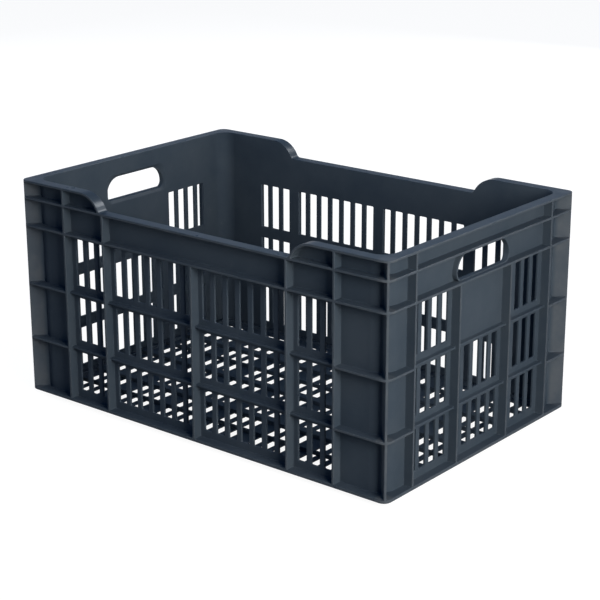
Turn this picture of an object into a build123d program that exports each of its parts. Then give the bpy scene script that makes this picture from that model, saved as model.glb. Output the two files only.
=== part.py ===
from build123d import *
import os
from math import asin, cos, sin, sqrt

os.makedirs("parts", exist_ok=True)

# A ventilated stacking crate. Millimetres: X along the crate, Y across it, Z up from the ground.
# The front is the wall at -Y and the right end is the wall at +X.

# Outer sizes
length = 600.0
width = 400.0
height = 300.0
corner_radius = 10.0

# Wall skin, set back behind the tips of the ribs
rib_depth = 12.5
wall = 3.0
skin_corner_radius = 22.0

# Ribs
rib = 3.0
cross_rib_depth = 7.0
rim_thickness = 3.0

# Levels: the dip of the long rims, the band that holds the hand holes, and the two lower cross ribs
dip_depth = 22.5
handle_band = 37.5
cross_rib_pitch = 76.5

# Upright ribs: distances from the corners and between the uprights
long_corner_bay = 78.0
long_small_bay = 71.0
end_corner_bay = 54.0
end_middle_bay = 110.0

# Ramps between the high and the low rim
ramp_foot = 155.5
ramp_run = 32.5
ramp_foot_radius = 6.0

# Air slots in the walls
slot_width = 12.8
slot_web = 7.4
slot_end_margin = 5.0
slot_sill = 7.5
slot_head = 6.0
bottom_slot_sill = 10.0

# Hand holes
hand_hole_width = 110.5
hand_hole_top_radius = 23.0
hand_hole_bottom_radius = 9.0
hand_hole_side = 0.5
hand_hole_flare = 3.2
grip_width = 113.0
grip_corner_radius = 12.0
collar_wall = 2.5
collar_lip = 1.0

# Base and floor
foot_height = 7.0
foot_clearance = 1.5
foot_wall = 4.0
flange_thickness = 4.0
floor_level = 6.5
floor_slat_height = 2.0
floor_opening = 11.7
floor_pitch = 20.1
floor_group = 3
floor_margin = 10.0
floor_rib_pitch = 45.0
floor_rib_height = 5.5
floor_beam = 12.0

# Faces of the wall skin, measured from the middle of the crate
half_length = length / 2
half_width = width / 2
skin_x = half_length - rib_depth
skin_y = half_width - rib_depth
inside_x = skin_x - wall
inside_y = skin_y - wall
flat_x = skin_x - skin_corner_radius
flat_y = skin_y - skin_corner_radius

# Levels of the flanges and ribs
flange_top = foot_height + flange_thickness
rim_under = height - rim_thickness
top_rib = height - dip_depth
top_rib_under = top_rib - rib
band_rib = top_rib - handle_band
band_rib_under = band_rib - rib
lower_rib = foot_height + cross_rib_pitch
middle_rib = lower_rib + cross_rib_pitch

# Upright ribs of the long walls and of the ends
long_outer = half_length - long_corner_bay
long_inner = long_outer - long_small_bay
end_outer = half_width - end_corner_bay
end_inner = end_middle_bay / 2

# Each row of slots: bottom and top
bottom_row = (flange_top + bottom_slot_sill, lower_rib - rib - slot_head)
middle_row = (lower_rib + slot_sill, middle_rib - rib - slot_head)
top_row = (middle_rib + slot_sill, band_rib_under - slot_head)

# The ramp is an arc that leaves the high rim level and drops to the low one
ramp_top = ramp_foot + ramp_run
ramp_radius = (ramp_run**2 + dip_depth**2) / (2 * dip_depth)
ramp_centre = height - ramp_radius
ramp_under_radius = ramp_radius - rim_thickness
ramp_under_foot = ramp_top - sqrt(ramp_under_radius**2 - (top_rib - ramp_centre) ** 2)

# Plan outlines
outer_plan = RectangleRounded(length, width, corner_radius)
skin_plan = RectangleRounded(2 * skin_x, 2 * skin_y, skin_corner_radius)
inside_plan = RectangleRounded(2 * inside_x, 2 * inside_y, skin_corner_radius - wall)
foot_radius = skin_corner_radius - wall - foot_clearance
foot_plan = RectangleRounded(2 * (inside_x - foot_clearance), 2 * (inside_y - foot_clearance), foot_radius)
floor_x = inside_x - foot_clearance - foot_wall
floor_y = inside_y - foot_clearance - foot_wall
floor_plan = RectangleRounded(2 * floor_x, 2 * floor_y, foot_radius - foot_wall)


def rectangle(u0, u1, v0, v1):
    """A rectangle between two pairs of limits."""
    return Pos((u0 + u1) / 2, (v0 + v1) / 2) * Rectangle(u1 - u0, v1 - v0)


def block(x0, x1, y0, y1, z0, z1):
    """A block between three pairs of limits."""
    return Pos(0, 0, z0) * extrude(rectangle(x0, x1, y0, y1), z1 - z0)


def layer(plan, bottom, top):
    """A plan outline raised between two levels."""
    return Pos(0, 0, bottom) * extrude(plan, top - bottom)


def corner_fin(sign_x, sign_y):
    """Plan of the diagonal fin of one corner, between the skin and the rounded outer corner."""
    reach = skin_corner_radius + rib_depth
    middle_x = sign_x * (half_length - reach / 2)
    middle_y = sign_y * (half_width - reach / 2)
    turn = 45 * sign_x * sign_y
    strip = Pos(middle_x, middle_y) * Rot(0, 0, turn) * Rectangle(2 * reach, rib)
    return strip & (outer_plan - skin_plan)


diagonal_run = half_length - half_width
front_sector = make_face(Polyline(
    (-half_length, -half_width), (half_length, -half_width), (diagonal_run, 0), (-diagonal_run, 0), close=True
))
right_sector = make_face(Polyline(
    (half_length, -half_width), (half_length, half_width), (diagonal_run, 0), close=True
))
fins = corner_fin(1, 1) + corner_fin(1, -1) + corner_fin(-1, 1) + corner_fin(-1, -1)
rib_ring = outer_plan - skin_plan - fins
rim_ring = outer_plan - inside_plan
front_rib_plan = rib_ring & front_sector
right_rib_plan = rib_ring & right_sector


def slot_centres(start, stop):
    """Middles of the slots that fit between two uprights."""
    pitch = slot_width + slot_web
    clear = stop - start - rib - 2 * slot_end_margin
    count = max(1, int((clear + slot_web) / pitch))
    middle = (start + stop) / 2
    return [middle + (i - (count - 1) / 2) * pitch for i in range(count)]


def slots(bays, row):
    """One row of upright slots in the given bays."""
    middles = [u for bay in bays for u in slot_centres(*bay)]
    return [rectangle(u - slot_width / 2, u + slot_width / 2, *row) for u in middles]


def front_skin(outline):
    """Raises an outline of the front wall to the thickness of the skin."""
    return extrude(Plane.XZ.offset(inside_y) * outline, wall)


def right_skin(outline):
    """Raises an outline of the right end to the thickness of the skin."""
    return extrude(Plane.YZ.offset(inside_x) * outline, wall)


# Slotted panels
long_bays = [
    (-long_outer, -long_inner),
    (-long_inner, 0),
    (0, long_inner),
    (long_inner, long_outer),
]
long_rows = slots(long_bays, bottom_row) + slots(long_bays, middle_row) + slots(long_bays, top_row)
front_slotted_panel = front_skin(rectangle(-flat_x, flat_x, flange_top, band_rib_under) - long_rows)

side_bays = [(-end_outer, -end_inner), (end_inner, end_outer)]
all_bays = side_bays + [(-end_inner, end_inner)]
end_rows = slots(all_bays, bottom_row) + slots(all_bays, middle_row) + slots(side_bays, top_row)
right_slotted_panel = right_skin(rectangle(-flat_y, flat_y, flange_top, band_rib_under) - end_rows)


# The dipped rim and the plain band under it share one curve
def ramp_arc(radius, low, side):
    """The arc of one ramp, from the high level down to a low one."""
    rise = low - ramp_centre
    foot = side * (ramp_top - sqrt(radius**2 - rise**2))
    half_turn = asin((ramp_top - abs(foot)) / radius) / 2
    middle = side * (ramp_top - radius * sin(half_turn))
    return ThreePointArc(
        (side * ramp_top, ramp_centre + radius),
        (middle, ramp_centre + radius * cos(half_turn)),
        (foot, low),
    )


def front_rim_profile():
    """The dipped strip of the front rim, seen from the front."""
    upper = [
        ramp_arc(ramp_radius, top_rib, -1),
        Line((-ramp_foot, top_rib), (ramp_foot, top_rib)),
        ramp_arc(ramp_radius, top_rib, 1),
        Line((ramp_top, height), (half_length, height)),
        Line((half_length, height), (half_length, rim_under)),
        Line((half_length, rim_under), (ramp_top, rim_under)),
    ]
    lower = [
        ramp_arc(ramp_under_radius, top_rib, 1),
        Line((ramp_under_foot, top_rib), (ramp_under_foot, top_rib_under)),
        Line((ramp_under_foot, top_rib_under), (-ramp_under_foot, top_rib_under)),
        Line((-ramp_under_foot, top_rib_under), (-ramp_under_foot, top_rib)),
        ramp_arc(ramp_under_radius, top_rib, -1),
        Line((-ramp_top, rim_under), (-half_length, rim_under)),
        Line((-half_length, rim_under), (-half_length, height)),
        Line((-half_length, height), (-ramp_top, height)),
    ]
    return make_face(Curve() + upper + lower)


rim_strip = front_rim_profile()
ramp_feet = [v for v in rim_strip.vertices() if abs(v.Y - top_rib) < 0.001 and abs(abs(v.X) - ramp_foot) < 0.001]
rim_strip = fillet(ramp_feet, ramp_foot_radius)
dip = make_face(Curve() + [
    Line((-ramp_top, rim_under), (ramp_top, rim_under)),
    ramp_arc(ramp_under_radius, top_rib, 1),
    Line((ramp_under_foot, top_rib), (ramp_under_foot, top_rib_under)),
    Line((ramp_under_foot, top_rib_under), (-ramp_under_foot, top_rib_under)),
    Line((-ramp_under_foot, top_rib_under), (-ramp_under_foot, top_rib)),
    ramp_arc(ramp_under_radius, top_rib, -1),
])
front_upper_panel = front_skin(rectangle(-flat_x, flat_x, band_rib_under, rim_under) - dip)
front_rim = extrude(Plane.XZ * rim_strip, half_width) & layer(rim_ring & front_sector, 0, height)
right_rim = layer(rim_ring & right_sector, rim_under, height)

# Hand hole: a raised lip between the two upper cross ribs, and a mouth that flares towards the inside
band_gap = top_rib_under - band_rib
hole_height = band_gap - 2 * collar_lip
hole_level = (band_rib + top_rib_under) / 2


def arched(wide, high, top_radius, bottom_radius):
    """The outline of a hand hole, rounder at its top corners than at its bottom ones."""
    bottom = min(bottom_radius, high / 3)
    top = min(top_radius, high - bottom - hand_hole_side)
    outline = Pos(0, hole_level) * Rectangle(wide, high)
    outline = fillet(outline.vertices().group_by(Axis.Y)[-1], top)
    return fillet(outline.vertices().group_by(Axis.Y)[0], bottom)


hand_hole = arched(hand_hole_width, hole_height, hand_hole_top_radius, hand_hole_bottom_radius)
grip_height = hole_height + 2 * hand_hole_flare
grip_outline = arched(grip_width, grip_height, grip_corner_radius, hand_hole_bottom_radius)
collar_width = hand_hole_width + 2 * collar_wall
collar_outline = arched(
    collar_width, band_gap, hand_hole_top_radius + collar_lip, hand_hole_bottom_radius + collar_lip
)
grip_mouth = loft([Plane.YZ.offset(inside_x) * grip_outline, Plane.YZ.offset(skin_x) * hand_hole])
right_handle_panel = right_skin(rectangle(-flat_y, flat_y, band_rib_under, rim_under)) - grip_mouth
right_hand_hole_collar = extrude(Plane.YZ.offset(skin_x) * (collar_outline - hand_hole), cross_rib_depth)


# Ribs. The upright blades run between the flanges and the two upper cross ribs, which go right round.
def front_upright(x, bottom, top):
    """An upright rib of the front wall."""
    return block(x - rib / 2, x + rib / 2, -half_width, -skin_y, bottom, top)


def right_upright(y, bottom, top):
    """An upright rib of the right end."""
    return block(skin_x, half_length, y - rib / 2, y + rib / 2, bottom, top)


slotted_span = (flange_top, band_rib_under)
handle_span = (band_rib, top_rib_under)
rim_span = (top_rib, rim_under)

front_blades = [front_upright(0, *slotted_span)]
right_blades = []
for side in (-1, 1):
    front_blades += [front_upright(side * long_inner, *span) for span in (slotted_span, handle_span)]
    front_blades += [front_upright(side * long_outer, *span) for span in (slotted_span, handle_span, rim_span)]
    right_blades += [right_upright(side * end_inner, *slotted_span)]
    right_blades += [right_upright(side * end_outer, *span) for span in (slotted_span, handle_span, rim_span)]
front_upright_ribs = Part() + front_blades
right_upright_ribs = Part() + right_blades

# The two lower cross ribs are deep in the blank corner bays and shallow between the uprights
front_gaps = [rectangle(x - rib / 2, x + rib / 2, -half_width, -skin_y) for x in (-long_inner, 0, long_inner)]
front_deep = front_rib_plan - rectangle(-long_outer - rib / 2, long_outer + rib / 2, -half_width, 0)
front_shallow = rectangle(-long_outer + rib / 2, long_outer - rib / 2, -skin_y - cross_rib_depth, -skin_y)
front_lower_plan = front_deep + (front_shallow - front_gaps)
low_rim_span = rectangle(-ramp_under_foot, ramp_under_foot, -half_width, 0)
front_cross_ribs = Part() + [
    layer(front_rib_plan - low_rim_span, top_rib_under, top_rib),
    layer(front_rib_plan, band_rib_under, band_rib),
    layer(front_lower_plan, middle_rib - rib, middle_rib),
    layer(front_lower_plan, lower_rib - rib, lower_rib),
]

right_gaps = [rectangle(skin_x, half_length, y - rib / 2, y + rib / 2) for y in (-end_inner, end_inner)]
right_deep = right_rib_plan - rectangle(0, half_length, -end_outer - rib / 2, end_outer + rib / 2)
right_shallow = rectangle(skin_x, skin_x + cross_rib_depth, -end_outer + rib / 2, end_outer - rib / 2)
right_lower_plan = right_deep + (right_shallow - right_gaps)
right_cross_ribs = Part() + [
    layer(right_rib_plan, top_rib_under, top_rib),
    layer(right_rib_plan, band_rib_under, band_rib),
    layer(right_lower_plan, middle_rib - rib, middle_rib),
    layer(right_lower_plan, lower_rib - rib, lower_rib),
]

# Corner posts
corner_square = rectangle(flat_x, skin_x, -skin_y, -flat_y)
corner_plan = ((skin_plan - inside_plan) & corner_square) + corner_fin(1, -1)
corner_post_front_right = layer(corner_plan, flange_top, rim_under)

# Floor: slats across the crate leave long openings in groups, and carry beams and thin ribs along it
group_pitch = (floor_group + 1) * floor_pitch
group_reach = (floor_group - 1) / 2 * floor_pitch
group_count = int((floor_x - floor_margin - floor_opening / 2 - group_reach) / group_pitch)
columns = []
for group in range(-group_count, group_count + 1):
    columns += [group * group_pitch - group_reach + i * floor_pitch for i in range(floor_group)]
lattice_x = columns[-1] + floor_opening / 2
lattice_y = floor_y - floor_margin
slat_under = floor_level - floor_slat_height
slat_limits = [(u + floor_opening / 2, v - floor_opening / 2) for u, v in zip(columns, columns[1:])]
floor_slats = Part() + [block(x0, x1, -lattice_y, lattice_y, slat_under, floor_level) for x0, x1 in slat_limits]

rib_top = floor_level + floor_rib_height
rib_count = int((lattice_y - floor_beam) / floor_rib_pitch)
floor_ribs = Part()
for step in range(-rib_count, rib_count + 1):
    half = (rib if step % 2 else floor_beam) / 2
    middle = step * floor_rib_pitch
    floor_ribs += block(-floor_x, floor_x, middle - half, middle + half, floor_level, rib_top)

# Base frame: the flange under the walls, the stacking foot inside it and the border of the floor
base_frame = layer(outer_plan - floor_plan, foot_height, flange_top) + [
    layer(foot_plan - floor_plan, 0, foot_height),
    layer(floor_plan - Rectangle(2 * lattice_x, 2 * lattice_y), slat_under, floor_level),
]

# Every wall piece has a twin on the far side
nodes = {
    "floor_slats": floor_slats,
    "floor_ribs": floor_ribs,
    "base_frame": base_frame,
    "corner_post_front_right": corner_post_front_right,
    "corner_post_front_left": mirror(corner_post_front_right, about=Plane.YZ),
    "corner_post_back_right": mirror(corner_post_front_right, about=Plane.XZ),
    "corner_post_back_left": mirror(mirror(corner_post_front_right, about=Plane.XZ), about=Plane.YZ),
}
front_pieces = {
    "slotted_panel": front_slotted_panel,
    "upper_panel": front_upper_panel,
    "upright_ribs": front_upright_ribs,
    "cross_ribs": front_cross_ribs,
    "rim": front_rim,
}
right_pieces = {
    "slotted_panel": right_slotted_panel,
    "handle_panel": right_handle_panel,
    "hand_hole_collar": right_hand_hole_collar,
    "upright_ribs": right_upright_ribs,
    "cross_ribs": right_cross_ribs,
    "rim": right_rim,
}
for name, piece in front_pieces.items():
    nodes["front_" + name] = piece
    nodes["back_" + name] = mirror(piece, about=Plane.XZ)
for name, piece in right_pieces.items():
    nodes["right_" + name] = piece
    nodes["left_" + name] = mirror(piece, about=Plane.YZ)

for name, piece in nodes.items():
    export_step(piece, f"parts/{name}.step")
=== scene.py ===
import math
from collections import namedtuple
from enum import IntEnum

import bmesh
import bpy
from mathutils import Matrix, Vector


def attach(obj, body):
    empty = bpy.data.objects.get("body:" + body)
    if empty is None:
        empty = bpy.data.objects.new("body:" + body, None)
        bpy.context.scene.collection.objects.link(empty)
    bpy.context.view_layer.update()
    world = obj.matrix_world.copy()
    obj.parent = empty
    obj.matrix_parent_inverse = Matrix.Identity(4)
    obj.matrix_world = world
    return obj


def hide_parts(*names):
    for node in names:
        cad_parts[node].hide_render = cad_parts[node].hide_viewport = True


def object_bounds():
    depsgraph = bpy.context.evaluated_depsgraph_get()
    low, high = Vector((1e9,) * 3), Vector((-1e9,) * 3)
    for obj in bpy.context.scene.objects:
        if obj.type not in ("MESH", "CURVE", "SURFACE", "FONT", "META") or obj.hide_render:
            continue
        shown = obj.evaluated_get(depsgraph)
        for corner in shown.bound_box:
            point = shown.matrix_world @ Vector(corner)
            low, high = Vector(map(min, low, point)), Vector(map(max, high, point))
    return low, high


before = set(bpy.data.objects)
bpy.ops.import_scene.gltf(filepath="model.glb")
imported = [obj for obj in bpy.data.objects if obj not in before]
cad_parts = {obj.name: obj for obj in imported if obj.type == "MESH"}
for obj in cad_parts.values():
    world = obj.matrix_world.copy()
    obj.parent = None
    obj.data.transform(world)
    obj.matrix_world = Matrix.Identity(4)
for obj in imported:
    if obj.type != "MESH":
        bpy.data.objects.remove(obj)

cad_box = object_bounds()
MM = 0.001

# Sizes in millimetres, the same as the solids'. The overall ones come from the box of the frame.
HALF_LENGTH, HALF_WIDTH, RIM = [round(high / MM, 3) for high in cad_box[1]]

# Walls and ribs
WALL = 3.0
RIB = 3.0
RIB_DEPTH = 12.5
SHALLOW_DEPTH = 7.0
SKIN_RADIUS = 22.0
CORNER_RADIUS = 10.0
SKIN_X = HALF_LENGTH - RIB_DEPTH
SKIN_Y = HALF_WIDTH - RIB_DEPTH
FLAT_X = SKIN_X - SKIN_RADIUS
FLAT_Y = SKIN_Y - SKIN_RADIUS

# Levels of the stacking foot's top, and of the tops of the flange and the cross ribs
FOOT = 7.0
FLANGE = 11.0
LOW_RIB = 83.5
MIDDLE_RIB = 160.0
BAND_RIB = 240.0
TOP_RIB = 277.5

# Air slots: plain skin above the flange, above a rib, and from a slot's top to the top of the next rib
FIRST_SILL = 10.0
SILL = 7.5
HEAD = 9.0
SLOT_WIDTH = 12.8
SLOT_PITCH = 20.2

# Uprights on the long walls and on the ends, and the bays between them with their number of slots
LONG_INNER = 151.0
LONG_OUTER = 222.0
END_INNER = 55.0
END_OUTER = 146.0
LONG_BAYS = (
    (-LONG_OUTER, -LONG_INNER, 3),
    (-LONG_INNER, 0.0, 7),
    (0.0, LONG_INNER, 7),
    (LONG_INNER, LONG_OUTER, 3),
)
SIDE_BAYS = ((-END_OUTER, -END_INNER, 4), (END_INNER, END_OUTER, 4))
MIDDLE_BAYS = ((-END_INNER, END_INNER, 5),)

# Hand holes: the lip's outline, the wider mouth on the inside, and the part of the band round them
HOLE_HALF = 55.25
HOLE_LOW = 241.0
HOLE_HIGH = 273.5
HOLE_TOP_RADIUS = 23.0
HOLE_BOTTOM_RADIUS = 9.0
GRIP_HALF = 56.5
GRIP_RADIUS = 12.0
FLARE = 3.2
COLLAR = 2.5
COLLAR_HEIGHT = 7.0
WINDOW = 61.0

# Floor: slats across the crate that leave openings in threes, and ribs along it
SLAT_UNDER = 4.5
FLOOR_LEVEL = 6.5
FLOOR_OPENING = 11.7
FLOOR_PITCH = 20.1
FLOOR_COLUMNS = 13
FLOOR_RIB_TOP = 12.0
FLOOR_RIB_PITCH = 45.0
FLOOR_RIBS = 3
FLOOR_BEAM = 12.0
FLOOR_X = 279.0
LATTICE_X = FLOOR_COLUMNS * FLOOR_PITCH + FLOOR_OPENING / 2
LATTICE_Y = 169.0
FOOT_CLEARANCE = 1.5
FOOT_WALL = 4.0

# The ramp is an arc that leaves the high rim level, with a small fillet at its foot
RAMP_FOOT = 155.5
RAMP_TOP = 188.0
RAMP_FILLET = 6.0
RAMP_DROP = RIM - TOP_RIB
RAMP_RADIUS = ((RAMP_TOP - RAMP_FOOT) ** 2 + RAMP_DROP**2) / (2 * RAMP_DROP)
RAMP_CENTRE = RIM - RAMP_RADIUS
FILLET_Z = TOP_RIB + RAMP_FILLET
FILLET_X = RAMP_TOP - math.sqrt((RAMP_RADIUS + RAMP_FILLET) ** 2 - (FILLET_Z - RAMP_CENTRE) ** 2)
FILLET_END = RAMP_TOP - (RAMP_TOP - FILLET_X) * RAMP_RADIUS / (RAMP_RADIUS + RAMP_FILLET)
UNDER_RADIUS = RAMP_RADIUS - RIB
UNDER_FOOT = RAMP_TOP - math.sqrt(UNDER_RADIUS**2 - (TOP_RIB - RAMP_CENTRE) ** 2)

# Places where the fillet and the arc are cut into short flats, together with the slots' edges
FILLET_CUTS = (FILLET_X, 154.2, 155.6, FILLET_END)
RAMP_CUTS = (UNDER_FOOT, 161.8, 164.0, 166.6, 169.5, 176.3, 184.0, RAMP_TOP)

# Rounding of the moulding: inner corners, the share of it on outer edges, and what counts as an edge
INNER_ROUND = 1.4
OUTER_SHARE = 0.36
SHARP_TURN = math.radians(22)
FLOOR_ROUND = 0.5

# Lengths that differ by less are the same
SAME = 0.001


class Row(IntEnum):
    """Rows of cells up the wall. The last three follow the dipped rim."""

    FLANGE = 0
    SILL_LOW = 1
    SLOTS_LOW = 2
    HEAD_LOW = 3
    LOW_RIB = 4
    SILL_MIDDLE = 5
    SLOTS_MIDDLE = 6
    HEAD_MIDDLE = 7
    MIDDLE_RIB = 8
    SILL_TOP = 9
    SLOTS_TOP = 10
    HEAD_TOP = 11
    BAND_RIB = 12
    BAND = 13
    TOP_RIB = 14
    SHOULDER = 15
    RIM = 16


SLOT_ROWS = (Row.SLOTS_LOW, Row.SLOTS_MIDDLE, Row.SLOTS_TOP)
HIGH_RIB_ROWS = (Row.BAND_RIB, Row.TOP_RIB)
LOW_RIB_ROWS = (Row.LOW_RIB, Row.MIDDLE_RIB)

# Levels between those rows. Each place on the wall adds its own three uppermost ones.
LEVELS = [FOOT, FLANGE, FLANGE + FIRST_SILL]
for rib_top in (LOW_RIB, MIDDLE_RIB):
    LEVELS += [rib_top - HEAD, rib_top - RIB, rib_top, rib_top + SILL]
LEVELS += [BAND_RIB - HEAD, BAND_RIB - RIB, BAND_RIB, TOP_RIB - RIB]
HIGH_RIM_LEVELS = (TOP_RIB, RIM - RIB, RIM)


def slot_edges(bays):
    """Limits of the slots in some bays."""
    found = []
    for start, stop, count in bays:
        for i in range(count):
            place = (start + stop) / 2 + (i - (count - 1) / 2) * SLOT_PITCH
            found.append((place - SLOT_WIDTH / 2, place + SLOT_WIDTH / 2))
    return found


LONG_SLOTS = slot_edges(LONG_BAYS)
SIDE_SLOTS = slot_edges(SIDE_BAYS)
MIDDLE_SLOTS = slot_edges(MIDDLE_BAYS)

# Uprights by their distance from the middle of the wall, with the last row that they reach
LONG_UPRIGHTS = {0.0: Row.HEAD_TOP, LONG_INNER: Row.BAND, LONG_OUTER: Row.SHOULDER}
END_UPRIGHTS = {END_INNER: Row.HEAD_TOP, END_OUTER: Row.SHOULDER}


def rim_level(u):
    """Level of the long rim's top."""
    a = abs(u)
    if a <= FILLET_X:
        return TOP_RIB
    if a < FILLET_END:
        return FILLET_Z - math.sqrt(RAMP_FILLET**2 - (a - FILLET_X) ** 2)
    if a < RAMP_TOP:
        return RAMP_CENTRE + math.sqrt(RAMP_RADIUS**2 - (RAMP_TOP - a) ** 2)
    return RIM


def long_levels(u):
    """The three uppermost levels at a place along a long wall."""
    a = abs(u)
    top = rim_level(u)
    if a < UNDER_FOOT - SAME:
        return (top, top, top)
    under = RAMP_CENTRE + math.sqrt(UNDER_RADIUS**2 - max(0.0, RAMP_TOP - a) ** 2)
    return (TOP_RIB, max(TOP_RIB, under), top)


def panel_name(row, long_wall):
    """The panel that a row of the skin belongs to."""
    if row <= Row.HEAD_TOP:
        return "slotted_panel"
    return "upper_panel" if long_wall else "handle_panel"


def in_slot(u, row, long_wall):
    """True inside an air slot. The ends have no middle slots in the top row."""
    if row not in SLOT_ROWS:
        return False
    slots = LONG_SLOTS if long_wall else SIDE_SLOTS
    if not long_wall and row != Row.SLOTS_TOP:
        slots = SIDE_SLOTS + MIDDLE_SLOTS
    return any(a < u < b for a, b in slots)


def cell(u, row, long_wall):
    """What stands at a place of a wall: hole, window, skin, shallow or deep, and the node it belongs to."""
    a = abs(u)
    in_dip = long_wall and a < UNDER_FOOT
    panel = panel_name(row, long_wall)
    uprights = LONG_UPRIGHTS if long_wall else END_UPRIGHTS
    if in_dip and row > Row.TOP_RIB:
        return ("deep", "rim") if a > FILLET_END else ("hole", panel)
    if row == Row.FLANGE:
        return "deep", "base_frame"
    if row == Row.RIM or (in_dip and row == Row.TOP_RIB):
        return "deep", "rim"
    if row in HIGH_RIB_ROWS:
        return "deep", "cross_ribs"
    if any(abs(a - place) < RIB / 2 and row <= last for place, last in uprights.items()):
        return "deep", "upright_ribs"
    if row in LOW_RIB_ROWS:
        return ("deep" if a > max(uprights) else "shallow"), "cross_ribs"
    if in_slot(u, row, long_wall):
        return "hole", panel
    if not long_wall and row == Row.BAND and a < WINDOW:
        return "window", panel
    return "skin", panel


class Station:
    """One upright line round the wall: the place on the skin, the way out of it and the outer limit."""

    def __init__(self, skin, normal, outer, top=HIGH_RIM_LEVELS):
        self.skin = Vector(skin)
        self.normal = Vector(normal)
        self.outer = Vector(outer)
        self.deep = (self.outer - self.skin).length
        self.levels = [*LEVELS, *top]

    def depth(self, kind):
        """How far a kind of cell stands out from the skin."""
        known = {"hole": -WALL, "window": 0.0, "skin": 0.0, "shallow": SHALLOW_DEPTH, "deep": self.deep}
        return known[kind]

    def point(self, depth, line):
        """The point at a depth on one of the station's levels."""
        way = self.normal if depth <= 0 else (self.outer - self.skin).normalized()
        p = self.skin + way * depth
        return (p.x, p.y, self.levels[line])


# What lies between one station and the next. At a corner, post is its name and place is None.
Span = namedtuple("Span", "wall place long_wall post in_fin")


def wall_lines(long_wall):
    """Places along a wall where something begins or ends."""
    uprights = LONG_UPRIGHTS if long_wall else END_UPRIGHTS
    half = [FLAT_X, *FILLET_CUTS, *RAMP_CUTS] if long_wall else [FLAT_Y, WINDOW]
    for place in uprights:
        half += [place - RIB / 2, place + RIB / 2]
    lines = {side * a for a in half for side in (-1, 1)}
    for limits in LONG_SLOTS if long_wall else SIDE_SLOTS + MIDDLE_SLOTS:
        lines.update(limits)
    return sorted(round(a, 4) for a in lines)


def corner_rays():
    """Skin and outer points of one corner, from one wall's side to the other's, in the corner's own axes."""
    far = RIB_DEPTH + SKIN_RADIUS
    inner = far - CORNER_RADIUS
    middle = math.pi / 4
    # Turns on the skin with places on the straight outside, then with turns on the round outside
    straight = ((10, 6.5), (19, 13.0), (27, 19.0), (32, inner))
    fin_turn = middle - math.asin(RIB / 2 / SKIN_RADIUS)
    fin_tip_turn = middle - math.asin(RIB / 2 / CORNER_RADIUS)
    curved = ((math.radians(36.5), math.radians(18)), (fin_turn, fin_tip_turn), (middle, middle))
    rays = [(math.radians(turn), (far, q)) for turn, q in straight]
    for turn, arc in curved:
        rays.append((turn, (inner + CORNER_RADIUS * math.cos(arc), inner + CORNER_RADIUS * math.sin(arc))))
    mirrored = [(math.pi / 2 - turn, (q, p)) for turn, (p, q) in reversed(rays[:-1])]
    return rays + mirrored


def ring():
    """All stations round the crate, and the span that follows each of them."""
    # Each wall with its way out, its way along and the corner post at its end
    walls = (
        ("front", (0, -1), (1, 0), "front_right"),
        ("right", (1, 0), (0, 1), "back_right"),
        ("back", (0, 1), (-1, 0), "back_left"),
        ("left", (-1, 0), (0, -1), "front_left"),
    )
    rays = corner_rays()
    fin = len(rays) // 2
    stations, spans = [], []
    for k, (wall, out, along, post) in enumerate(walls):
        out, along = Vector(out), Vector(along)
        long_wall = k % 2 == 0
        base = SKIN_Y if long_wall else SKIN_X
        following = walls[(k + 1) % len(walls)][0]
        lines = wall_lines(long_wall)
        for i, u in enumerate(lines):
            skin = out * base + along * u
            top = long_levels(u) if long_wall else HIGH_RIM_LEVELS
            stations.append(Station(skin, out, skin + out * RIB_DEPTH, top))
            if i + 1 < len(lines):
                spans.append(Span(wall, (u + lines[i + 1]) / 2, long_wall, None, False))
        spans.append(Span(wall, None, False, post, False))
        centre = out * (base - SKIN_RADIUS) + along * (FLAT_X if long_wall else FLAT_Y)
        for i, (turn, (p, q)) in enumerate(rays):
            normal = out * math.cos(turn) + along * math.sin(turn)
            stations.append(Station(centre + normal * SKIN_RADIUS, normal, centre + out * p + along * q))
            spans.append(Span(wall if i < fin else following, None, False, post, i in (fin - 1, fin)))
    return stations, spans


def outer_cell(span, row):
    """Kind of one cell, and the node of its outside."""
    if span.post is None:
        kind, node = cell(span.place, row, span.long_wall)
        return kind, node if node == "base_frame" else f"{span.wall}_{node}"
    if row == Row.FLANGE:
        return "deep", "base_frame"
    if row == Row.RIM:
        return "deep", f"{span.wall}_rim"
    if span.in_fin:
        return "deep", f"corner_post_{span.post}"
    if row in LOW_RIB_ROWS + HIGH_RIB_ROWS:
        return "deep", f"{span.wall}_cross_ribs"
    return "skin", f"corner_post_{span.post}"


def inner_node(span, row):
    """Node of the inside face of a cell."""
    if span.post is not None:
        return f"corner_post_{span.post}"
    in_dip = span.long_wall and abs(span.place) < UNDER_FOOT
    if row == Row.RIM or (in_dip and row >= Row.TOP_RIB):
        return f"{span.wall}_rim"
    return f"{span.wall}_{panel_name(row, span.long_wall)}"


def behind_window(span, row):
    """True where the inside face is made with the flared mouth of a hand hole."""
    at_end = span.post is None and not span.long_wall
    return at_end and abs(span.place) < WINDOW and row in HIGH_RIB_ROWS


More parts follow.
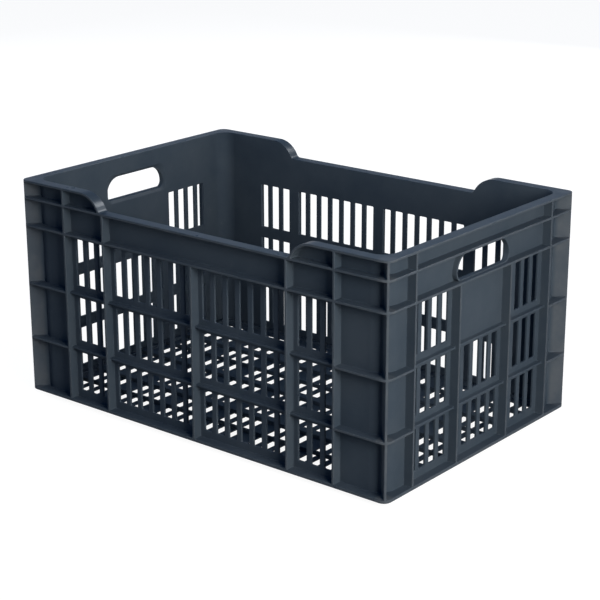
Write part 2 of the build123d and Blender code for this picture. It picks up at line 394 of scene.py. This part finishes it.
class Shell:
    """The ribbed wall as one mesh, with the number of its node on each face."""

    def __init__(self):
        self.stations, self.spans = ring()
        self.cells = [[outer_cell(span, row) for row in Row] for span in self.spans]
        self.nodes = []
        self.mesh = bmesh.new()
        self.seen = {}
        for i in range(len(self.stations)):
            self.add_skins(i)
            self.add_upright_steps(i)
            self.add_level_steps(i)
        bmesh.ops.recalc_face_normals(self.mesh, faces=self.mesh.faces)

    def station(self, i):
        """A station by its number, which goes on round the crate."""
        return self.stations[i % len(self.stations)]

    def cell(self, i, row):
        """Kind and node of the cell after a station. Beyond the wall's top and bottom there is a hole."""
        if not 0 <= row < len(Row):
            return "hole", None
        return self.cells[i % len(self.cells)][row]

    def vertex(self, i, line, depth):
        """The vertex at a depth on one of a station's levels, made once."""
        p = self.station(i).point(depth, line)
        key = tuple(round(c, 3) for c in p)
        if key not in self.seen:
            self.seen[key] = self.mesh.verts.new([c * MM for c in p])
        return self.seen[key]

    def vertices(self, i, line, a, b):
        """Vertices on one level between two depths, with those where other cells meet it."""
        station = self.station(i)
        low, high = min(a, b), max(a, b)
        met = {station.depth(self.cell(i + di, line + dj)[0]) for di in (-1, 0) for dj in (-1, 0)}
        found = {round(d, 4) for d in met | {low, high}}
        return [self.vertex(i, line, d) for d in sorted(found) if low - SAME <= d <= high + SAME]

    def face(self, verts, node):
        """Adds a face, unless it has no area or is there already."""
        loop = [v for k, v in enumerate(verts) if v is not verts[k - 1]]
        if len(loop) < 3 or len(set(loop)) < len(loop):
            return
        if node not in self.nodes:
            self.nodes.append(node)
        if self.mesh.faces.get(loop) is None:
            self.mesh.faces.new(loop).material_index = self.nodes.index(node)

    def add_skins(self, i):
        """Outside and inside faces of the cells after a station."""
        for row in Row:
            kind, node = self.cell(i, row)
            if kind in ("hole", "window"):
                continue
            a, b = self.station(i).depth(kind), self.station(i + 1).depth(kind)
            low = [self.vertex(i, row, a), self.vertex(i + 1, row, b)]
            high = [self.vertex(i + 1, row + 1, b), self.vertex(i, row + 1, a)]
            self.face(low + high, node)
            if not behind_window(self.spans[i], row):
                corners = ((i, row), (i, row + 1), (i + 1, row + 1), (i + 1, row))
                self.face([self.vertex(c, r, -WALL) for c, r in corners], inner_node(self.spans[i], row))

    def add_upright_steps(self, i):
        """Upright faces on a station, between cells of different depth."""
        here = self.station(i)
        for row in Row:
            before, after = self.cell(i - 1, row), self.cell(i, row)
            a, b = here.depth(before[0]), here.depth(after[0])
            if abs(a - b) > SAME and here.levels[row + 1] - here.levels[row] > SAME:
                bottom = self.vertices(i, row, a, b)
                top = self.vertices(i, row + 1, a, b)
                self.face(bottom + top[::-1], before[1] if a > b else after[1])

    def add_level_steps(self, i):
        """Level faces after a station, between cells of different depth."""
        here, following = self.station(i), self.station(i + 1)
        for line in range(len(Row) + 1):
            below, above = self.cell(i, line - 1), self.cell(i, line)
            a, b = here.depth(below[0]), here.depth(above[0])
            if abs(a - b) > SAME:
                first = self.vertices(i, line, a, b)
                last = self.vertices(i + 1, line, following.depth(below[0]), following.depth(above[0]))
                self.face(first + last[::-1], below[1] if a > b else above[1])


def weigh_edges(bm):
    """Marks sharp edges for rounding: inner corners fully, outer edges less."""
    layer = bm.edges.layers.float.new("bevel_weight_edge")
    for edge in bm.edges:
        if len(edge.link_faces) == 2 and edge.calc_face_angle() > SHARP_TURN:
            edge[layer] = OUTER_SHARE if edge.is_convex else 1.0


def mesh_object(name, bm):
    """A new object with a mesh, which is used up."""
    mesh = bpy.data.meshes.new(name)
    bm.to_mesh(mesh)
    bm.free()
    ob = bpy.data.objects.new(name, mesh)
    bpy.context.scene.collection.objects.link(ob)
    return ob


def rounded(ob):
    """The mesh of an object after its weighted edges are rounded. The object is used up."""
    bevel = ob.modifiers.new("round", "BEVEL")
    bevel.limit_method = "WEIGHT"
    bevel.width = INNER_ROUND * MM
    bevel.segments = 2
    bevel.use_clamp_overlap = False
    graph = bpy.context.evaluated_depsgraph_get()
    mesh = bpy.data.meshes.new_from_object(ob.evaluated_get(graph))
    bpy.data.objects.remove(ob)
    return mesh


def join_into(bm, other):
    """Adds another mesh, which is used up."""
    scratch = bpy.data.meshes.new("scratch")
    other.to_mesh(scratch)
    other.free()
    bm.from_mesh(scratch)
    bpy.data.meshes.remove(scratch)


def wall_parts():
    """The rounded wall, divided into its nodes."""
    shell = Shell()
    weigh_edges(shell.mesh)
    mesh = rounded(mesh_object("shell", shell.mesh))
    found = {}
    for number, node in enumerate(shell.nodes):
        bm = bmesh.new()
        bm.from_mesh(mesh)
        others = [f for f in bm.faces if f.material_index != number]
        bmesh.ops.delete(bm, geom=others, context="FACES")
        found[node] = bm
    bpy.data.meshes.remove(mesh)
    return found


def skin_loops(bm, loops, closed_section=False):
    """Skins a stack of closed loops of points in millimetres."""
    rings = [[bm.verts.new([c * MM for c in p]) for p in loop] for loop in loops]
    pairs = list(zip(rings, rings[1:]))
    if closed_section:
        pairs.append((rings[-1], rings[0]))
    for a, b in pairs:
        for i in range(len(a)):
            j = (i + 1) % len(a)
            bm.faces.new((a[i], b[i], b[j], a[j]))


def outline(half, low, high, top_radius, bottom_radius, steps):
    """Points and outward directions round an oblong with rounded corners."""
    corners = (
        (1, high - top_radius, top_radius),
        (-1, high - top_radius, top_radius),
        (-1, low + bottom_radius, bottom_radius),
        (1, low + bottom_radius, bottom_radius),
    )
    found = []
    for k, (side, v, radius) in enumerate(corners):
        for i in range(steps + 1):
            turn = math.pi / 2 * (k + i / steps)
            du, dv = math.cos(turn), math.sin(turn)
            found.append((side * (half - radius) + radius * du, v + radius * dv, du, dv))
    return found


def hand_hole(side):
    """The skin round a hand hole with its flared mouth, and its lip. side is 1 at the right end."""
    steps = 14
    beyond = 40.0
    lip = outline(HOLE_HALF, HOLE_LOW, HOLE_HIGH, HOLE_TOP_RADIUS, HOLE_BOTTOM_RADIUS, steps)
    mouth_low, mouth_high = HOLE_LOW - FLARE, HOLE_HIGH + FLARE
    grip = outline(GRIP_HALF, mouth_low, mouth_high, GRIP_RADIUS, HOLE_BOTTOM_RADIUS, steps)

    def loop(offset, depth, share=1.0, limits=(BAND_RIB, TOP_RIB - RIB)):
        """A loop out from the hole's edge, with a share of the lip's outline and the rest of the mouth's."""
        made = []
        for inside, outside in zip(grip, lip):
            u, v, du, dv = [p + (q - p) * share for p, q in zip(inside, outside)]
            y = max(-WINDOW, min(WINDOW, u + du * offset))
            z = max(limits[0], min(limits[1], v + dv * offset))
            made.append((side * (SKIN_X + depth), side * y, z))
        return made

    # Offset, depth and share of the flared mouth, from the inside of the wall outwards
    mouth = ((beyond, -WALL, 0), (1.2, -WALL, 0), (0.45, -2.75, 0.06), (0.1, -2.2, 0.22), (0, -1.4, 0.5))
    # Offset and depth of the rounded lip, from the hole's edge over its top and down to the skin
    crest = ((0, 0.8), (0.2, 0.2), (0.7, 0), (COLLAR - 0.6, 0), (COLLAR - 0.2, 0.2), (COLLAR, 0.8))
    root = ((COLLAR, 1.0), (COLLAR + 0.1, 0.4), (COLLAR + 0.4, 0.1))
    behind_ribs = (BAND_RIB - RIB, TOP_RIB)
    panel, collar = bmesh.new(), bmesh.new()
    skin_loops(panel, [loop(*place, behind_ribs) for place in mouth] + [loop(0, 0)])
    skin_loops(panel, [loop(*root[-1]), loop(beyond, 0)])
    over = [loop(offset, COLLAR_HEIGHT - down) for offset, down in crest]
    skin_loops(collar, [loop(0, 0)] + over + [loop(*place) for place in root])
    return panel, collar


def base_section():
    """The stacking foot and the border of the floor."""
    edge, slat_edge, fillet, foot_edge, midway = 0.6, 0.4, 1.2, 1.0, 0.3
    inside = (SKIN_X - WALL, SKIN_Y - WALL, SKIN_RADIUS - WALL)
    foot = [size - FOOT_CLEARANCE for size in inside]
    floor = [size - FOOT_WALL for size in foot]
    lattice = (LATTICE_X, LATTICE_Y, 0.8)
    # Outline, how far outside it and level, round the section from the floor's top
    section = (
        (lattice, slat_edge, FLOOR_LEVEL),
        (floor, -fillet, FLOOR_LEVEL),
        (floor, -midway, FLOOR_LEVEL + midway),
        (floor, 0.0, FLOOR_LEVEL + fillet),
        (floor, 0.0, FLANGE - edge),
        (floor, edge, FLANGE),
        (inside, 0.0, FLANGE),
        (inside, 0.0, FOOT),
        (foot, slat_edge, FOOT),
        (foot, 0.0, FOOT - edge),
        (foot, 0.0, foot_edge),
        (foot, -midway, midway),
        (foot, -foot_edge, 0.0),
        (floor, edge, 0.0),
        (floor, 0.0, edge),
        (floor, 0.0, SLAT_UNDER - edge),
        (floor, -edge, SLAT_UNDER),
        (lattice, slat_edge, SLAT_UNDER),
        (lattice, 0.0, SLAT_UNDER + slat_edge),
        (lattice, 0.0, FLOOR_LEVEL - slat_edge),
    )
    loops = []
    for (half_x, half_y, radius), grow, z in section:
        reach = half_y + grow
        turn = max(0.2, radius + grow)
        points = outline(half_x + grow, -reach, reach, turn, turn, steps=8)
        loops.append([(x, y, z) for x, y, _, _ in points])
    bm = bmesh.new()
    skin_loops(bm, loops, closed_section=True)
    return bm


def bars(limits, along_x, reach, under, top):
    """Rounded bars of the floor."""
    bm = bmesh.new()
    for a, b in limits:
        for v in bmesh.ops.create_cube(bm, size=1.0)["verts"]:
            across = (a + b) / 2 + v.co.y * (b - a)
            length = v.co.x * 2 * reach
            x, y = (length, across) if along_x else (across, length)
            v.co = Vector((x, y, (under + top) / 2 + v.co.z * (top - under))) * MM
    bmesh.ops.recalc_face_normals(bm, faces=bm.faces)
    bmesh.ops.bevel(
        bm, geom=bm.edges[:], offset=FLOOR_ROUND * MM, segments=2, profile=0.5, affect="EDGES"
    )
    return bm


def floor_slats():
    """Slats between the columns of openings. Every fourth column is left closed."""
    into_border = 1.0
    columns = [k * FLOOR_PITCH for k in range(-FLOOR_COLUMNS, FLOOR_COLUMNS + 1) if k % 4 != 2]
    limits = [(a + FLOOR_OPENING / 2, b - FLOOR_OPENING / 2) for a, b in zip(columns, columns[1:])]
    return bars(limits, False, LATTICE_Y + into_border, SLAT_UNDER, FLOOR_LEVEL)


def floor_ribs():
    """Beams and thin ribs by turns, along the crate."""
    into_slats = 0.3
    limits = []
    for step in range(-FLOOR_RIBS, FLOOR_RIBS + 1):
        half = (RIB if step % 2 else FLOOR_BEAM) / 2
        limits.append((step * FLOOR_RIB_PITCH - half, step * FLOOR_RIB_PITCH + half))
    return bars(limits, True, FLOOR_X, FLOOR_LEVEL - into_slats, FLOOR_RIB_TOP)


class NodeKit:
    """Short calls for the shader nodes of a material or a world."""

    def __init__(self, owner):
        owner.use_nodes = True
        self.nodes = owner.node_tree.nodes
        self.links = owner.node_tree.links

    def new(self, kind, **inputs):
        """A node, with a link or a constant on some inputs. An input's name has _ for each space."""
        node = self.nodes.new("ShaderNode" + kind)
        for name, value in inputs.items():
            self.put(node.inputs[name.replace("_", " ")], value)
        return node

    def put(self, socket, value):
        """Links another node's output to an input, or sets a constant on it."""
        if isinstance(value, bpy.types.NodeSocket):
            self.links.new(value, socket)
        else:
            socket.default_value = value

    def noise(self, where, scale, detail, roughness=0.5):
        """Smooth random values from 0 to 1. scale is in patches per metre."""
        node = self.new("TexNoise", Vector=where, Scale=scale, Detail=detail, Roughness=roughness)
        return node.outputs["Fac"]

    def spread(self, source, given, wanted=(0, 1)):
        """Maps one range of values to another, with soft ends."""
        node = self.new("MapRange", Value=source)
        node.interpolation_type = "SMOOTHSTEP"
        for name, limits in (("From", given), ("To", wanted)):
            self.put(node.inputs[name + " Min"], limits[0])
            self.put(node.inputs[name + " Max"], limits[1])
        return node.outputs["Result"]

    def math(self, operation, a, b):
        """Joins two values into one."""
        node = self.new("Math")
        node.operation = operation
        self.put(node.inputs[0], a)
        self.put(node.inputs[1], b)
        return node.outputs["Value"]

    def vector(self, operation, a, b=(0, 0, 0)):
        """Changes a vector by a constant one, or measures it."""
        node = self.new("VectorMath")
        node.operation = operation
        self.put(node.inputs[0], a)
        self.put(node.inputs[1], b)
        return node.outputs["Value" if operation == "LENGTH" else "Vector"]

    def part(self, axis, source):
        """One part of a vector."""
        return self.new("SeparateXYZ", Vector=source).outputs[axis]


def wear_and_painted_light(kit, where):
    """Is high where the plastic is paler: on scuffs, and where rib edges and corner posts rub. On the outer
    rib edges and the corner posts it is also painted light: a painted highlight along the edges, and paler
    fins in place of light that the lamps do not give them.
    """
    edge_start, edge_end, edge_share = CORNER_RADIUS - 1.5, CORNER_RADIUS - 0.2, 0.6
    past_flat, corner_blend = 15.0, 5.0
    plan = kit.vector("ABSOLUTE", kit.vector("MULTIPLY", where, (1, 1, 0)))
    straight = ((HALF_LENGTH - CORNER_RADIUS) * MM, (HALF_WIDTH - CORNER_RADIUS) * MM, 0)
    reach = kit.vector("LENGTH", kit.vector("MAXIMUM", kit.vector("SUBTRACT", plan, straight)))
    # Outermost rib edges: partly real rubbing, partly a painted highlight along the edges.
    outer_edge_rub_and_highlight = kit.spread(reach, (edge_start * MM, edge_end * MM), (0, edge_share))
    past = kit.vector("SUBTRACT", plan, ((FLAT_X + past_flat) * MM, (FLAT_Y + past_flat) * MM, 0))
    least = kit.math("MINIMUM", kit.part("X", past), kit.part("Y", past))
    # Corner posts: partly real rubbing, partly painted light that brightens the fins' faces.
    corner_rub_and_light = kit.spread(least, (0, corner_blend * MM))
    patchy = kit.spread(kit.noise(where, scale=40, detail=4), (0.3, 0.7), (0.3, 0.7))
    # Paler rubbed and painted-light areas, broken up into patches.
    rubbed_and_painted_light = kit.math("MULTIPLY", kit.math("MAXIMUM", outer_edge_rub_and_highlight, corner_rub_and_light), patchy)
    scuffs = kit.spread(kit.noise(where, scale=55, detail=6, roughness=0.7), (0.62, 0.80), (0, 0.35))
    return kit.math("MAXIMUM", rubbed_and_painted_light, scuffs)


def mottled(kit, where):
    """The colour of the plastic, from darker to lighter patches."""
    tone = kit.new("ValToRGB", Fac=kit.noise(where, scale=14, detail=6, roughness=0.6))
    darker, lighter = tone.color_ramp.elements
    darker.position, darker.color = 0.3, (0.039, 0.057, 0.079, 1)
    lighter.position, lighter.color = 0.7, (0.056, 0.075, 0.096, 1)
    return tone.outputs["Color"]


def dullness(kit, where):
    """Roughness of the surface. Hands and stacked crates polish the tops of the rims."""
    under_rim, on_rim = 0.271, 0.277
    normal = kit.new("NewGeometry").outputs["Normal"]
    faces_up = kit.spread(kit.part("Z", normal), (0.15, 0.45))
    high = kit.spread(kit.part("Z", where), (under_rim, on_rim))
    polish = kit.spread(kit.math("MULTIPLY", faces_up, high), (0, 1), (1, 0.52))
    dull = kit.spread(kit.noise(where, scale=30, detail=5), (0, 1), (0.50, 0.62))
    return kit.math("MULTIPLY", dull, polish)


def relief(kit, where):
    """A fine moulded grain over faint flow marks."""
    fine = kit.noise(where, scale=800, detail=3)
    grain = kit.new("Bump", Strength=0.22, Distance=0.0002, Height=fine).outputs["Normal"]
    wavy = kit.noise(where, scale=26, detail=2)
    return kit.new("Bump", Strength=0.2, Distance=0.002, Height=wavy, Normal=grain).outputs["Normal"]


def moulded_plastic():
    """Dark blue-grey satin polyethylene, paler where worn, with painted light on the corner posts and the
    outer rib edges.
    """
    # Pale colour of scuffs and rubbed edges, also used as painted light on the corner posts and outer rib
    # edges.
    pale_wear_and_light_grey = (0.10, 0.115, 0.13, 1)
    mat = bpy.data.materials.new("crate_plastic")
    kit = NodeKit(mat)
    where = kit.new("TexCoord").outputs["Object"]
    mix = kit.new("Mix")
    mix.data_type = "RGBA"
    # Wear, and painted light on the corner posts and outer rib edges, mix in the pale grey.
    kit.put(mix.inputs["Factor"], wear_and_painted_light(kit, where))
    kit.put(mix.inputs["A"], mottled(kit, where))
    kit.put(mix.inputs["B"], pale_wear_and_light_grey)
    shader = kit.nodes["Principled BSDF"]
    kit.put(shader.inputs["Base Color"], mix.outputs["Result"])
    kit.put(shader.inputs["Roughness"], dullness(kit, where))
    kit.put(shader.inputs["Normal"], relief(kit, where))
    kit.put(shader.inputs["IOR"], 1.5)
    kit.put(shader.inputs["Specular IOR Level"], 0.06)
    return mat


def pale_floor():
    """Looks white to the camera, in reflections and through clear things, and keeps the soft shadow."""
    near_white, grey = 0.94, 0.15
    mat = bpy.data.materials.new("pale_floor")
    kit = NodeKit(mat)
    kit.nodes.clear()
    path = kit.new("LightPath").outputs
    mirrored = kit.math("MAXIMUM", path["Is Glossy Ray"], path["Is Transmission Ray"])
    seen = kit.math("MAXIMUM", path["Is Camera Ray"], mirrored)
    glow = kit.new("Emission", Strength=kit.math("MULTIPLY", seen, near_white))
    diffuse = kit.new("BsdfDiffuse", Color=(grey, grey, grey, 1))
    both = kit.new("AddShader")
    kit.put(both.inputs[0], diffuse.outputs["BSDF"])
    kit.put(both.inputs[1], glow.outputs["Emission"])
    kit.new("OutputMaterial", Surface=both.outputs["Shader"])
    return mat


def round_ground():
    """A round floor in metres, with a low backdrop all round it."""
    radius, backdrop = 24, 4.2
    bm = bmesh.new()
    bmesh.ops.create_circle(bm, cap_ends=True, radius=radius, segments=96)
    raised = bmesh.ops.extrude_edge_only(bm, edges=bm.edges[:])["geom"]
    top = [v for v in raised if isinstance(v, bmesh.types.BMVert)]
    bmesh.ops.translate(bm, verts=top, vec=(0, 0, backdrop))
    ob = mesh_object("ground", bm)
    ob.data.materials.append(pale_floor())
    return ob


def studio_world():
    """A faint blue light from all sides."""
    world = bpy.data.worlds.new("studio")
    kit = NodeKit(world)
    kit.nodes.clear()
    soft = kit.new("Background", Color=(0.1, 0.6, 1.5, 1), Strength=0.13)
    kit.new("OutputWorld", Surface=soft.outputs["Background"])
    return world


def softbox(name, place, size, power, colour, diffuse=True, glossy=True):
    """A lamp that points at the crate. It can be kept off matt surfaces or out of reflections."""
    target = Vector((0, 0, 0.15))
    data = bpy.data.lights.new(name, "AREA")
    data.shape = "RECTANGLE"
    data.size, data.size_y = size
    data.energy = power
    data.color = colour
    ob = bpy.data.objects.new(name, data)
    bpy.context.scene.collection.objects.link(ob)
    ob.location = place
    ob.rotation_euler = (target - Vector(place)).to_track_quat("-Z", "Y").to_euler()
    ob.visible_diffuse = diffuse
    ob.visible_glossy = glossy


def studio_light():
    """A key light at the right end, lights for the rims, and fills for the sides in the key's shade."""
    warm, cool, pale = (1.0, 0.92, 0.84), (0.74, 0.88, 1.0), (0.94, 0.97, 1.0)
    softbox("right_softbox", (1.80, -0.80, 0.87), size=(0.9, 0.9), power=44.3, colour=warm, glossy=False)
    softbox("back_softbox", (-0.90, 2.05, 1.40), size=(3.0, 1.0), power=4, colour=cool)
    softbox("top_softbox", (0.75, 1.50, 1.75), size=(0.8, 0.5), power=62, colour=pale, diffuse=False)
    softbox("back_fill", (-0.25, 2.70, 0.70), size=(1.8, 0.8), power=56, colour=pale, glossy=False)
    softbox("left_fill", (-2.70, 0.25, 0.70), size=(1.8, 0.8), power=50, colour=pale, glossy=False)


def photo_camera():
    """The camera, fitted to the corners, rims and ribs of the crate."""
    data = bpy.data.cameras.new("photo_camera")
    data.sensor_width = 36
    data.lens = 100.209
    data.clip_start, data.clip_end = 0.05, 60
    camera = bpy.data.objects.new("photo_camera", data)
    bpy.context.scene.collection.objects.link(camera)
    camera.location = (1.33245, -1.62101, 0.83117)
    camera.rotation_euler = [math.radians(turn) for turn in (71.8553, 0.1124, 39.1632)]
    return camera


parts = wall_parts()
join_into(parts["base_frame"], base_section())
for wall, side in (("right", 1), ("left", -1)):
    panel, collar = hand_hole(side)
    join_into(parts[f"{wall}_handle_panel"], panel)
    parts[f"{wall}_hand_hole_collar"] = collar
parts["floor_slats"] = floor_slats()
parts["floor_ribs"] = floor_ribs()

plastic = moulded_plastic()
for node, bm in sorted(parts.items()):
    bmesh.ops.remove_doubles(bm, verts=bm.verts[:], dist=SAME * MM)
    for f in bm.faces:
        f.material_index = 0
        f.smooth = True
    ob = mesh_object(node + "_moulding", bm)
    ob.data.materials.append(plastic)
    ob.modifiers.new("even shading", "WEIGHTED_NORMAL").keep_sharp = True
    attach(ob, "root")
    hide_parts(node)

ground = round_ground()

scene = bpy.context.scene
scene.world = studio_world()
studio_light()
scene.camera = photo_camera()
scene.view_settings.view_transform = "Standard"

bpy.context.view_layer.update()
